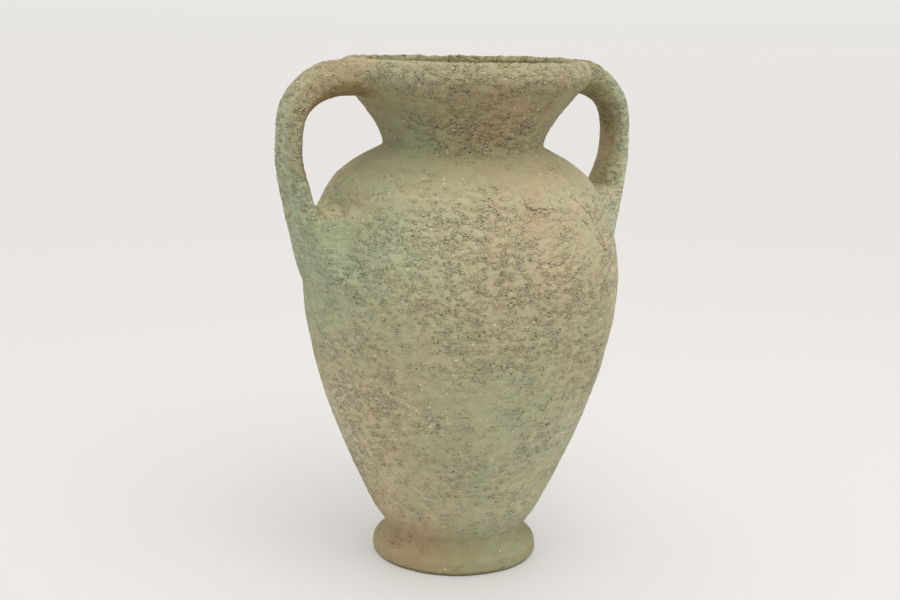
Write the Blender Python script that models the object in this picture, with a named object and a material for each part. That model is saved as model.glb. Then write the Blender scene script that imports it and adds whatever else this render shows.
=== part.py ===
"""Amphora: a hollow turned vessel on a spreading foot, with a rolled lip and two strap handles.

It is built the way a potter builds it, from sections that are luted together: foot, lower body,
shoulder, neck, lip and two handles. The axis is Z, the foot stands on Z = 0, and the handles lie
along X, the left one on -X. Lengths are in metres.
"""

import math

import bmesh
import bpy
from mathutils import Vector

# Driving dimensions.
HEIGHT = 0.480
WALL = 0.007
FLOOR = 0.009
JOINT_GAP = 0.0003
FOOT_RADIUS = 0.0802
WAIST_RADIUS = 0.0660
BELLY_RADIUS = 0.1506
THROAT_RADIUS = 0.0754
NECK_TOP_RADIUS = 0.1075
LIP_RADIUS = 0.1180
CREST_RADIUS = 0.1104
MOUTH_RADIUS = 0.1030

# Heights of the joints between the turned sections, and of the widest part.
WAIST_Z = 0.0290
BODY_JOINT_Z = 0.2400
BELLY_Z = 0.2780
THROAT_Z = 0.3995
LIP_Z = 0.4520
LIP_WIDEST_Z = 0.4662

# The foot's underside: a flat resting ring around an open recess.
REST_RADIUS = 0.0780
RECESS_RADIUS = 0.0540
RECESS_TOP_RADIUS = 0.0480

# The handles: centre line of one handle from inside the lip to inside the shoulder, as (radius,
# height), and the strap's size at fractions of that line's length.
HANDLE_LINE = [
    (0.1010, 0.4622),
    (0.1240, 0.4631),
    (0.1427, 0.4615),
    (0.1728, 0.4417),
    (0.1812, 0.3967),
    (0.1723, 0.3540),
    (0.1609, 0.3150),
    (0.1362, 0.2487),
]
HANDLE_FRACTIONS = [0.00, 0.10, 0.40, 0.72, 1.00]
HANDLE_THICKNESS = [0.0330, 0.0320, 0.0157, 0.0160, 0.0112]
HANDLE_WIDTH = [0.0420, 0.0414, 0.0402, 0.0590, 0.0630]
STRAP_SQUARENESS = 2.4

# Below its hole each strap deepens towards the vessel, a web of clay that closes the gap.
WEB_DEPTH = 0.0340
WEB_START = 0.595
WEB_FULL = 0.690

# How far the shape that trims the handles rises above the lip.
COLUMN_RISE = 0.030

# Fineness of the solids.
TURN_STEPS = 48
HANDLE_RINGS = 26
HANDLE_SIDES = 16


def clear_scene():
    for obj in list(bpy.data.objects):
        bpy.data.objects.remove(obj, do_unlink=True)


def clay(name, colour, roughness):
    material = bpy.data.materials.new(name)
    material.use_nodes = True
    shader = material.node_tree.nodes["Principled BSDF"]
    shader.inputs["Base Color"].default_value = (*colour, 1.0)
    shader.inputs["Roughness"].default_value = roughness
    shader.inputs["Metallic"].default_value = 0.0
    return material


def smooth_line(points, steps):
    """Points along a smooth curve through the given (a, b) points, with steps in each stretch."""
    points = [Vector(p) for p in points]
    gaps = [(b - a).length for a, b in zip(points, points[1:])]
    slopes = [(b - a) / gap for a, b, gap in zip(points, points[1:], gaps)]
    tangents = [slopes[0]]
    for i in range(1, len(slopes)):
        before, after = gaps[i - 1], gaps[i]
        tangents.append((slopes[i - 1] * after + slopes[i] * before) / (before + after))
    tangents.append(slopes[-1])

    line = []
    for i, gap in enumerate(gaps):
        for step in range(steps):
            t = step / steps
            line.append(
                points[i] * (1 + 2 * t) * (1 - t) ** 2
                + tangents[i] * gap * t * (1 - t) ** 2
                + points[i + 1] * t * t * (3 - 2 * t)
                - tangents[i + 1] * gap * t * t * (1 - t)
            )
    line.append(points[-1])
    return line


def offset(line, distance):
    """The line moved sideways: a positive distance moves a rising profile away from the axis."""
    moved = []
    for i, point in enumerate(line):
        along = line[min(i + 1, len(line) - 1)] - line[max(i - 1, 0)]
        moved.append(point + Vector((along.y, -along.x)).normalized() * distance)
    return moved


def level_ends(line, low, high):
    """The line with its first and last points set level with two heights."""
    ends = list(line)
    ends[0] = Vector((line[0].x, low))
    ends[-1] = Vector((line[-1].x, high))
    return ends


def foot_profile():
    return smooth_line(
        [
            (REST_RADIUS, 0.0),
            (FOOT_RADIUS - 0.0005, 0.0022),
            (FOOT_RADIUS, 0.0070),
            (FOOT_RADIUS - 0.0015, 0.0144),
            (WAIST_RADIUS + 0.0050, 0.0205),
            (WAIST_RADIUS, WAIST_Z),
        ],
        2,
    )


def lower_profile():
    return smooth_line(
        [
            (WAIST_RADIUS, WAIST_Z),
            (0.0797, 0.0480),
            (0.0917, 0.0720),
            (0.1068, 0.1056),
            (0.1224, 0.1440),
            (0.1377, 0.1920),
            (BELLY_RADIUS - 0.0025, BODY_JOINT_Z),
        ],
        2,
    )


def shoulder_profile():
    return smooth_line(
        [
            (BELLY_RADIUS - 0.0025, BODY_JOINT_Z),
            (BELLY_RADIUS, BELLY_Z),
            (0.1456, 0.3168),
            (0.1347, 0.3456),
            (0.1205, 0.3696),
            (0.1020, 0.3855),
            (0.0880, 0.3930),
            (THROAT_RADIUS, THROAT_Z),
        ],
        2,
    )


def neck_profile():
    return smooth_line(
        [
            (THROAT_RADIUS, THROAT_Z),
            (0.0768, 0.4080),
            (0.0842, 0.4224),
            (0.0968, 0.4392),
            (NECK_TOP_RADIUS, LIP_Z),
        ],
        2,
    )


def lip_profile():
    return smooth_line(
        [
            (NECK_TOP_RADIUS, LIP_Z),
            (0.1152, 0.4598),
            (LIP_RADIUS, LIP_WIDEST_Z),
            (LIP_RADIUS - 0.0012, 0.4732),
            (LIP_RADIUS - 0.0036, 0.4778),
            (CREST_RADIUS, HEIGHT),
        ],
        2,
    )


def profile_mesh(name, outline):
    """A mesh of edges around a closed outline of (radius, height), in the XZ plane."""
    mesh = bpy.data.meshes.new(name)
    count = len(outline)
    mesh.from_pydata(
        [(p[0], 0.0, p[1]) for p in outline],
        [(i, (i + 1) % count) for i in range(count)],
        [],
    )
    return mesh


def turned(name, outside, inside, material):
    """A solid of revolution between an outer and an inner line, both given from the bottom up."""
    outline = list(reversed(outside)) + list(inside)
    obj = bpy.data.objects.new(name, profile_mesh(name, outline))
    bpy.context.collection.objects.link(obj)
    screw = obj.modifiers.new("turn", "SCREW")
    screw.axis = "Z"
    screw.angle = math.tau
    screw.steps = TURN_STEPS
    screw.render_steps = TURN_STEPS
    screw.use_merge_vertices = True
    screw.merge_threshold = 0.00005
    screw.use_smooth_shade = True
    if material:
        obj.data.materials.append(material)
    return obj


def turned_wall(name, profile, low, high, material):
    """A section of the vessel's wall, a joint's gap short of each height that it meets."""
    outside = level_ends(profile, low, high)
    inside = level_ends(offset(profile, -WALL), low, high)
    return turned(name, outside, inside, material)


def make_foot(material):
    outside = level_ends(foot_profile(), 0.0, WAIST_Z - JOINT_GAP / 2)
    inside = smooth_line(
        [
            (RECESS_RADIUS, 0.0),
            (RECESS_RADIUS - 0.0015, 0.0060),
            (RECESS_TOP_RADIUS, WAIST_Z - JOINT_GAP / 2),
        ],
        2,
    )
    return turned("foot", outside, inside, material)


def make_lower_body(material):
    """The lower half of the belly, closed below by the vessel's floor."""
    low = WAIST_Z + JOINT_GAP / 2
    high = BODY_JOINT_Z - JOINT_GAP / 2
    floor_top = low + FLOOR
    corner_top = floor_top + 0.004
    outside = level_ends(lower_profile(), low, high)
    wall = level_ends(offset(lower_profile(), -WALL), low, high)
    inside = [p for p in wall if p.y > corner_top]
    floor = [
        Vector((0.0, low)),
        Vector((0.0, floor_top)),
        Vector((WAIST_RADIUS - 2 * WALL, floor_top)),
    ]
    return turned("lower_body", outside, floor + inside, material)


def make_lip(material):
    """The lip's outside rises to a rounded crest, and its inside falls back into the neck."""
    low = LIP_Z + JOINT_GAP / 2
    outside = lip_profile()
    outside[0] = Vector((outside[0].x, low))
    inside = smooth_line(
        [
            (offset(neck_profile(), -WALL)[-1].x, low),
            (MOUTH_RADIUS - 0.0004, 0.4600),
            (MOUTH_RADIUS, 0.4700),
            (MOUTH_RADIUS + 0.0014, 0.4765),
            (MOUTH_RADIUS + 0.0040, HEIGHT - 0.0010),
        ],
        2,
    )
    return turned("lip", outside, inside, material)


def handle_cutter():
    """The vessel's outer shape, a joint's gap larger, with a straight column above the lip."""
    skin = lower_profile()[:-1] + shoulder_profile()[:-1] + neck_profile()[:-1] + lip_profile()
    grown = offset(skin, JOINT_GAP)
    rising = [p for p in grown if p.y < LIP_WIDEST_Z]
    radius = LIP_RADIUS + JOINT_GAP
    column = [Vector((radius, LIP_WIDEST_Z)), Vector((radius, HEIGHT + COLUMN_RISE))]
    outside = [Vector((0.0, grown[0].y))] + rising + column
    cutter = turned("vessel_cutter", outside, [Vector((0.0, HEIGHT + COLUMN_RISE))], None)
    cutter.hide_render = True
    cutter.display_type = "WIRE"
    return cutter


def along_handle(values, fraction):
    """A size of the strap at a fraction of its length, eased between the stated ones."""
    for i, end in enumerate(HANDLE_FRACTIONS[1:]):
        if fraction <= end:
            start = HANDLE_FRACTIONS[i]
            t = (fraction - start) / (end - start)
            t = t * t * (3 - 2 * t)
            return values[i] * (1 - t) + values[i + 1] * t
    return values[-1]


def web_depth(fraction):
    """How much deeper towards the vessel the strap is at a fraction of its length."""
    t = min(max((fraction - WEB_START) / (WEB_FULL - WEB_START), 0.0), 1.0)
    return WEB_DEPTH * t * t * (3 - 2 * t)


def spaced(line, count):
    """Equally spaced points along a line, with the fraction and the direction at each."""
    reach = [0.0]
    for a, b in zip(line, line[1:]):
        reach.append(reach[-1] + (b - a).length)
    found = []
    i = 0
    for n in range(count):
        target = reach[-1] * n / (count - 1)
        while i < len(line) - 2 and reach[i + 1] < target:
            i += 1
        t = (target - reach[i]) / (reach[i + 1] - reach[i])
        found.append((line[i].lerp(line[i + 1], t), n / (count - 1)))
    points = [p for p, _ in found]
    ways = [
        (points[min(n + 1, count - 1)] - points[max(n - 1, 0)]).normalized() for n in range(count)
    ]
    return [(p, f, way) for (p, f), way in zip(found, ways)]


def strap_section(thickness, width, web):
    """A rounded-oblong section, as (across the thickness, across the width) pairs. Its first half
    faces the vessel, and is deeper by the web."""
    power = 2 / STRAP_SQUARENESS
    section = []
    for n in range(HANDLE_SIDES):
        angle = math.tau * n / HANDLE_SIDES
        c, s = math.cos(angle), math.sin(angle)
        depth = thickness / 2 + (web if c > 0 else 0.0)
        section.append(
            (
                math.copysign(abs(c) ** power, c) * depth,
                math.copysign(abs(s) ** power, s) * width / 2,
            )
        )
    return section


def make_handle(name, side, cutter, material):
    """One strap, swept along its centre line and trimmed to sit against the vessel."""
    shape = bmesh.new()
    rings = []
    for centre, fraction, way in spaced(smooth_line(HANDLE_LINE, 8), HANDLE_RINGS):
        across = Vector((way.y, -way.x))
        thickness = along_handle(HANDLE_THICKNESS, fraction)
        width = along_handle(HANDLE_WIDTH, fraction)
        ring = []
        for out, sideways in strap_section(thickness, width, web_depth(fraction)):
            p = centre + across * out
            ring.append(shape.verts.new((side * p.x, side * sideways, p.y)))
        rings.append(ring)
    for ring, following in zip(rings, rings[1:]):
        for n in range(HANDLE_SIDES):
            m = (n + 1) % HANDLE_SIDES
            shape.faces.new((ring[n], ring[m], following[m], following[n]))
    shape.faces.new(rings[0])
    shape.faces.new(rings[-1])
    bmesh.ops.recalc_face_normals(shape, faces=shape.faces)
    mesh = bpy.data.meshes.new(name)
    shape.to_mesh(mesh)
    shape.free()
    mesh.shade_smooth()
    mesh.set_sharp_from_angle(angle=math.radians(50))

    obj = bpy.data.objects.new(name, mesh)
    bpy.context.collection.objects.link(obj)
    obj.data.materials.append(material)
    trim = obj.modifiers.new("trim", "BOOLEAN")
    trim.operation = "DIFFERENCE"
    trim.solver = "EXACT"
    trim.object = cutter
    return obj


def main():
    clear_scene()
    sage = clay("sage_coat", (0.380, 0.380, 0.242), 0.90)
    tan = clay("tan_coat", (0.395, 0.335, 0.210), 0.90)

    make_foot(tan)
    make_lower_body(sage)
    half_gap = JOINT_GAP / 2
    turned_wall(
        "shoulder", shoulder_profile(), BODY_JOINT_Z + half_gap, THROAT_Z - half_gap, sage
    )
    turned_wall("neck", neck_profile(), THROAT_Z + half_gap, LIP_Z - half_gap, sage)
    make_lip(tan)
    cutter = handle_cutter()
    make_handle("handle_left", -1, cutter, sage)
    make_handle("handle_right", 1, cutter, sage)


main()
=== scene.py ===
"""Amphora of gritty coated pottery on a pale floor: its looks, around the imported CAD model.

Each CAD node is replaced by a closed mesh of the same shape with the coat's real relief. The turned
pieces take their outlines from the CAD nodes. The handles follow the CAD's centre line, but start
about 4 mm further out in the lip. Where a handle meets the vessel, both surfaces follow one blended
shape, as clay smeared over a joint does. The coat's relief, pits and colours are functions of
place, so they run on across every joint.
"""

import math

import bpy
import numpy as np
from mathutils import Matrix, Vector


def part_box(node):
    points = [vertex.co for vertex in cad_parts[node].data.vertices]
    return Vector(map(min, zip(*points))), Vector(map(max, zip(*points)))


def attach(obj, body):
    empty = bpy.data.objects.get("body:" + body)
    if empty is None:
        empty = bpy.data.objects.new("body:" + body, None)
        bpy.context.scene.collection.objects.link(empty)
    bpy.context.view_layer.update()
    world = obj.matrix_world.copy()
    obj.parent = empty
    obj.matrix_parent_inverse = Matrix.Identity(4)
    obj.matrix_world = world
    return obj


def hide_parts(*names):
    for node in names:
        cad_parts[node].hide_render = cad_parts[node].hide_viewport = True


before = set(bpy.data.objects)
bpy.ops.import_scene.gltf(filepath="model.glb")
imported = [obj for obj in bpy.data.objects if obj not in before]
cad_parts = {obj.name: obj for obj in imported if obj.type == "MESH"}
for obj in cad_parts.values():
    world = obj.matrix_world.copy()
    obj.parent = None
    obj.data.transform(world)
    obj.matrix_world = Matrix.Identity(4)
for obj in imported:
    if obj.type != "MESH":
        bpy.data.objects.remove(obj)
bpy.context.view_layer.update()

# ------------ sizes, in metres

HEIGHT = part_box("lip")[1].z
WAIST_Z = (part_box("foot")[1].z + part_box("lower_body")[0].z) / 2
BODY_JOINT_Z = (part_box("lower_body")[1].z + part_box("shoulder")[0].z) / 2
THROAT_Z = (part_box("shoulder")[1].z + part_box("neck")[0].z) / 2
LIP_Z = (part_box("neck")[1].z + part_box("lip")[0].z) / 2
RIM_RADIUS = 0.1075  # on the rim, between its crest and the mouth

FINE = 0.00146  # spacing of the mesh on the belly
FINER = 0.00120  # spacing on the smaller pieces
COARSE = 0.0055  # spacing inside the vessel
ROW = 0.88  # rows of a mesh are this much closer than the points along them
SAME = 0.0004  # points nearer than this to the last one are left out of an outline
SAMPLE = 0.0004  # spacing of the points that describe an outline
SOFT_CORNERS = [(WAIST_Z, 0.0030), (THROAT_Z, 0.0016)]  # heights of rounded corners, and how much
SOFT_SPAN = 0.012  # how far along the outline a corner's rounding is averaged

OUTER, INNER, HIDDEN = 0, 1, 2  # kinds of wall: coated, thinly coated inside, and without relief

# One handle's centre line as (radius, height), and its strap's size along it. The values are the
# CAD's, apart from the first point, which is about 4 mm further out.
HANDLE_LINE = [
    (0.1052, 0.4626),
    (0.1240, 0.4631),
    (0.1427, 0.4615),
    (0.1728, 0.4417),
    (0.1812, 0.3967),
    (0.1723, 0.3540),
    (0.1609, 0.3150),
    (0.1362, 0.2487),
]
HANDLE_FRACTIONS = [0.00, 0.10, 0.40, 0.72, 1.00]
HANDLE_THICKNESS = [0.0330, 0.0320, 0.0157, 0.0160, 0.0112]
HANDLE_WIDTH = [0.0420, 0.0414, 0.0402, 0.0590, 0.0630]
STRAP_SQUARENESS = 2.4
WEB_DEPTH = 0.0340
WEB_START = 0.595
WEB_FULL = 0.690
ROOT_TILT = math.radians(17)  # the first sections lean to lie along the lip and the neck
ROOT_TILT_END = 0.16
TUCK = 0.0032  # how deep a handle's ends lie under the vessel's skin
STRAP_SAMPLE = 0.0024  # spacing of the points that a place on the strap is found by

# A handle's shape and coat reach no further in, across or down than this.
NEAR_RADIUS, NEAR_ACROSS, NEAR_HEIGHT = 0.080, 0.075, 0.205

# The photographed view: the camera's place about the vessel and its lens.
VIEW_TURN = math.radians(32.65)  # the handles' plane is turned this far from square to the view
CAMERA_DISTANCE = 2.7504 * HEIGHT
CAMERA_HEIGHT = 1.0735 * HEIGHT
CAMERA_PITCH = 0.19803
CAMERA_YAW = -0.00682
CAMERA_ROLL = 0.02205
CAMERA_LENS = 55.8
SENSOR = 36.0

TO_VESSEL = Matrix.Rotation(-VIEW_TURN, 3, "Z")  # turns the view's directions into the vessel's
BEHIND = TO_VESSEL @ Vector((0, 1, 0))

# The room's brightness: at the horizon, and how much more overhead and behind the object.
ROOM_LEVEL = 0.695
ROOM_RISE = 0.664
ROOM_BACK = 0.1175
ROOM_COLOUR = (1.0, 0.977, 0.951, 1)

FLOOR_HALF = 30.0
FLOOR_DROP = 0.0002  # below the foot, so that the two surfaces don't coincide
FLOOR_COLOUR = (0.463, 0.457, 0.45, 1)
FLOOR_GLOW = (1.0, 0.98, 0.96, 1)
FLOOR_GLOW_STRENGTH = 0.225

# The soft box, placed as seen in the view: to the right, away from the camera, and up.
KEY_PLACE = (0.45, -0.9, 1.9)
KEY_SIZE = 1.4
KEY_POWER = 15.0
KEY_COLOUR = (1.0, 0.995, 0.98)


# ------------ noise

def hashed(cells, seed):
    """A whole number from 0 to 2**32 for each cell, given as (n, 3) whole numbers."""
    c = cells.astype(np.int64).astype(np.uint64)
    h = (
        c[:, 0] * np.uint64(73856093)
        ^ c[:, 1] * np.uint64(19349663)
        ^ c[:, 2] * np.uint64(83492791)
        ^ np.uint64(seed * 2654435761 % 2**32)
    ) & np.uint64(0xFFFFFFFF)
    for shift, factor in ((16, 0x7FEB352D), (15, 0x846CA68B)):
        h = (h ^ (h >> np.uint64(shift))) * np.uint64(factor) & np.uint64(0xFFFFFFFF)
    return h ^ (h >> np.uint64(16))


def random_of(cells, seed):
    """A number from 0 to 1 for each cell."""
    return hashed(cells, seed) / 2.0**32


STEPS = np.array(list(np.ndindex(3, 3, 3)), float) - 1  # to a cell and its neighbours
GRADIENTS = STEPS[np.abs(STEPS).sum(axis=1) == 2]


def noise(points, size, seed=0):
    """Smooth noise of about -1 to 1 at points, with features of about the given size."""
    p = points / size
    base = np.floor(p)
    f = p - base
    ease = f * f * f * (f * (f * 6 - 15) + 10)
    total = np.zeros(len(p))
    for corner in np.ndindex(2, 2, 2):
        corner = np.array(corner, float)
        gradient = GRADIENTS[(hashed(base + corner, seed) % np.uint64(len(GRADIENTS))).astype(int)]
        weight = np.prod(np.where(corner > 0, ease, 1 - ease), axis=1)
        total += weight * np.einsum("ij,ij->i", gradient, f - corner)
    return total


def layered(points, size, layers, seed=0, keep=0.5):
    """Noise of several layers, each half the size of the one before."""
    total, share = np.zeros(len(points)), 1.0
    for layer in range(layers):
        total += share * noise(points, size / 2**layer, seed + 17 * layer)
        share *= keep
    return total


def grains(points, size, seed=0):
    """(height from 0 to 1, distance to the nearest gap) of rounded grains about the given size."""
    p = points / size
    base = np.floor(p)
    first = np.full(len(p), 9.0)
    second = np.full(len(p), 9.0)
    tall = np.zeros(len(p))
    for step in STEPS:
        cell = base + step
        centre = cell + np.stack([random_of(cell, seed + i) for i in range(3)], axis=1)
        away = np.linalg.norm(p - centre, axis=1)
        nearer = away < first
        second = np.where(nearer, first, np.minimum(second, away))
        first = np.where(nearer, away, first)
        tall = np.where(nearer, random_of(cell, seed + 3), tall)
    dome = np.clip(1 - first**2 * 1.9, 0, 1)
    return dome * (0.3 + 0.7 * tall), second - first


def ramp(values, low, high):
    """0 below low, 1 above high, and a smooth step between."""
    t = np.clip((values - low) / (high - low), 0, 1)
    return t * t * (3 - 2 * t)


# ------------ outlines

def smooth_line(points, spacing):
    """Points at about the given spacing along a smooth curve through the given 2-D points."""
    points = np.asarray(points, float)
    gaps = np.linalg.norm(np.diff(points, axis=0), axis=1)
    slopes = np.diff(points, axis=0) / gaps[:, None]
    tangents = np.empty_like(points)
    tangents[0], tangents[-1] = slopes[0], slopes[-1]
    before, after = gaps[:-1, None], gaps[1:, None]
    tangents[1:-1] = (slopes[:-1] * after + slopes[1:] * before) / (before + after)
    line = []
    for i, gap in enumerate(gaps):
        t = np.linspace(0, 1, max(2, round(gap / spacing) + 1))[:-1, None]
        line.append(
            points[i] * (1 + 2 * t) * (1 - t) ** 2
            + tangents[i] * gap * t * (1 - t) ** 2
            + points[i + 1] * t * t * (3 - 2 * t)
            - tangents[i + 1] * gap * t * t * (1 - t)
        )
    return np.concatenate([*line, points[-1:]])


def respaced(line, spacing):
    """The same line with equally spaced points at about the given spacing."""
    reach = np.concatenate([[0], np.cumsum(np.linalg.norm(np.diff(line, axis=0), axis=1))])
    count = max(2, round(reach[-1] / spacing) + 1)
    at = np.linspace(0, reach[-1], count)
    return np.stack([np.interp(at, reach, line[:, i]) for i in range(2)], axis=1)


def cad_line(node, side):
    """(radius, height) points, from the bottom up, of a turned node's faces that look away from
    the axis (side 1) or towards it (side -1)."""
    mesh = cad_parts[node].data
    found = set()
    for face in mesh.polygons:
        middle = Vector((face.center.x, face.center.y, 0)).normalized()
        if face.normal.dot(middle) * side > 0.05:
            for i in face.vertices:
                p = mesh.vertices[i].co
                found.add((round(math.hypot(p.x, p.y), 5), round(p.z, 5)))
    line = []
    for point in sorted(found, key=lambda p: (p[1], p[0])):
        if not line or math.dist(point, line[-1]) > SAME:
            line.append(point)
    return np.array(line)


def wall_line(node, side, low, high):
    """A turned node's outer (side 1) or inner (side -1) line, stretched over the joint gaps to the
    given heights."""
    line = cad_line(node, side)
    line[0, 1], line[-1, 1] = low, high
    return smooth_line(line, SAMPLE)


SPANS = {
    "foot": (0.0, WAIST_Z),
    "lower_body": (WAIST_Z, BODY_JOINT_Z),
    "shoulder": (BODY_JOINT_Z, THROAT_Z),
    "neck": (THROAT_Z, LIP_Z),
    "lip": (LIP_Z, HEIGHT),
}


def softened(line):
    """The vessel's outline with its corners at the waist and the throat rounded, as slip does."""
    line = respaced(line, SAMPLE)
    span = round(SOFT_SPAN / SAMPLE)
    steps = np.arange(-span, span + 1) * SAMPLE
    for height, radius in SOFT_CORNERS:
        weights = np.exp(-((steps / radius) ** 2) / 2)
        weights /= weights.sum()
        near = np.exp(-(((line[:, 1] - height) / (3 * radius)) ** 4))
        near[: len(steps)] *= ramp(np.arange(len(steps)), len(steps) // 2, len(steps))
        for i in range(2):
            smooth = np.convolve(line[:, i], weights, "same")
            line[:, i] += near * (smooth - line[:, i])
    return line


def between(line, low, high):
    """The part of a rising outline between two heights."""
    radius = np.interp([low, high], line[:, 1], line[:, 0])
    inside = line[(line[:, 1] > low + SAMPLE / 4) & (line[:, 1] < high - SAMPLE / 4)]
    return np.concatenate([[(radius[0], low)], inside, [(radius[1], high)]])


SKIN = softened(np.concatenate([wall_line(node, 1, *SPANS[node]) for node in SPANS]))
SKIN = SKIN[np.concatenate([[True], np.diff(SKIN[:, 1]) > 1e-7])]
SKIN_SLOPE = np.gradient(SKIN[:, 0], SKIN[:, 1])
OUTSIDE = {node: between(SKIN, *SPANS[node]) for node in SPANS}


# ------------ shape of vessel and handles

def vessel_distance(points):
    """About how far points are outside the vessel's outer skin."""
    radius = np.hypot(points[:, 0], points[:, 1])
    skin = np.interp(points[:, 2], SKIN[:, 1], SKIN[:, 0])
    slope = np.clip(np.interp(points[:, 2], SKIN[:, 1], SKIN_SLOPE), -4, 4)
    sideways = (radius - skin) / np.sqrt(1 + slope**2)
    return np.maximum(sideways, points[:, 2] - HEIGHT)


STRAP_LINE = respaced(smooth_line(HANDLE_LINE, SAMPLE), STRAP_SAMPLE)
STRAP_WAY = np.gradient(STRAP_LINE, axis=0)
STRAP_WAY /= np.linalg.norm(STRAP_WAY, axis=1)[:, None]


def along_handle(values, fraction):
    """A size of the strap at fractions of its length, eased between the stated ones."""
    fraction = np.clip(fraction, 0, 1)
    last = len(HANDLE_FRACTIONS) - 2
    i = np.clip(np.searchsorted(HANDLE_FRACTIONS, fraction, side="right") - 1, 0, last)
    start, end = np.take(HANDLE_FRACTIONS, i), np.take(HANDLE_FRACTIONS, i + 1)
    t = (fraction - start) / (end - start)
    t = t * t * (3 - 2 * t)
    return np.take(values, i) * (1 - t) + np.take(values, i + 1) * t


def web_depth(fraction):
    """How much deeper towards the vessel the strap is at fractions of its length."""
    return WEB_DEPTH * ramp(fraction, WEB_START, WEB_FULL)


def near_handles(points):
    """Which points are near enough to a handle for its shape or its coat to reach them."""
    x, y, z = np.abs(points).T
    return (x > NEAR_RADIUS) & (y < NEAR_ACROSS) & (z > NEAR_HEIGHT)


def strap_place(points):
    """Where points lie on the nearer handle: fraction along it, and the offsets out and across."""
    flat = np.stack([np.abs(points[:, 0]), points[:, 2]], axis=1)
    nearest = np.empty(len(points), int)
    for start in range(0, len(points), 20000):
        block = slice(start, start + 20000)
        gap = flat[block, None, :] - STRAP_LINE[None, :, :]
        nearest[block] = np.argmin((gap**2).sum(axis=2), axis=1)
    way, offset = STRAP_WAY[nearest], flat - STRAP_LINE[nearest]
    along = (offset * way).sum(axis=1)
    out = offset[:, 0] * -way[:, 1] + offset[:, 1] * way[:, 0]
    length = np.linalg.norm(np.diff(STRAP_LINE, axis=0), axis=1).sum()
    fraction = nearest / (len(STRAP_LINE) - 1) + along / length
    return fraction, out, points[:, 1]


def handle_distance(points, place=None):
    """About how far points are outside the nearer handle."""
    fraction, out, across = strap_place(points) if place is None else place
    a = along_handle(HANDLE_THICKNESS, fraction) / 2 + web_depth(fraction) * (out < 0)
    b = along_handle(HANDLE_WIDTH, fraction) / 2
    n = STRAP_SQUARENESS
    u, v = np.abs(out) / a, np.abs(across) / b
    q = np.maximum((u**n + v**n) ** (1 / n), 1e-6)
    steep = np.hypot((u / q) ** (n - 1) / a, (v / q) ** (n - 1) / b)
    return (q - 1) / np.maximum(steep, 1e-6)


def blend_reach(place):
    """How wide the smeared clay is where a handle meets the vessel: wide at the strap's edges and
    below its foot, and narrow on top of the lip and under the strap."""
    fraction, out, across = place
    half_width = along_handle(HANDLE_WIDTH, fraction) / 2
    low = ramp(fraction, 0.35, 0.68)
    top = 0.003 + 0.011 * low
    under = 0.006 + 0.004 * low
    side = 0.006 + 0.024 * low
    middle = np.where(out > 0, top, under)
    edge = ramp(np.abs(across) / half_width, 0.45, 1.0)
    return (middle * (1 - edge) + side * edge) * (1 - 0.8 * ramp(fraction, 0.76, 0.96))


def body_shape(points):
    """About how far points are outside the vessel and its handles, blended where they meet."""
    place = strap_place(points)
    vessel, handle = vessel_distance(points), handle_distance(points, place)
    reach = blend_reach(place)
    near = np.clip(1 - np.abs(vessel - handle) / reach, 0, 1)
    return np.minimum(vessel, handle) - near * near * reach / 4


def settle(points, ways):
    """Points moved out along their ways on to the blended shape, no further than a blend is thick,
    and the blended shape's own directions there."""
    moved = np.zeros(len(points))
    index = np.flatnonzero(near_handles(points))
    if len(index) == 0:
        return points, ways
    place = strap_place(points[index])
    reach = blend_reach(place)
    gap = np.abs(handle_distance(points[index], place) - vessel_distance(points[index]))
    index, reach = index[gap < reach], reach[gap < reach]
    if len(index) == 0:
        return points, ways
    start, way = points[index], ways[index]
    t = np.zeros(len(index))
    limit = reach / 4
    for _ in range(5):
        t = np.clip(t - body_shape(start + way * t[:, None]), 0, limit)
    moved[index] = t
    settled = points + ways * moved[:, None]
    here = settled[index]
    step = 0.0007
    lean = np.stack(
        [
            body_shape(here + step * axis) - body_shape(here - step * axis)
            for axis in np.identity(3)
        ],
        axis=1,
    )
    lean /= np.maximum(np.linalg.norm(lean, axis=1), 1e-9)[:, None]
    blend = ramp(t / np.maximum(limit, 1e-9), 0.02, 0.3)[:, None]
    turned = ways.copy()
    turned[index] = ways[index] * (1 - blend) + lean * blend
    turned[index] /= np.linalg.norm(turned[index], axis=1)[:, None]
    return settled, turned


# ------------ the coat, as functions of place

def facing(points):
    """The angle about the axis from the photographed side, positive to the right of it."""
    angle = np.arctan2(points[:, 1], points[:, 0]) + math.pi / 2 + VIEW_TURN
    return (angle + math.pi) % math.tau - math.pi


def spot(points, angle, height, wide, tall):
    """A soft spot of 0 to 1 on the vessel, at an angle in degrees from the photographed side."""
    turn = (facing(points) - math.radians(angle) + math.pi) % math.tau - math.pi
    radius = np.maximum(np.hypot(points[:, 0], points[:, 1]), 0.03)
    return np.exp(-((turn * radius / wide) ** 2) - ((points[:, 2] - height) / tall) ** 2)


def spots_of(points, table):
    """The sum of a table's spots, each an angle, a height, the spot's size and its strength."""
    return sum(strength * spot(points, *place) for *place, strength in table)


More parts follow.
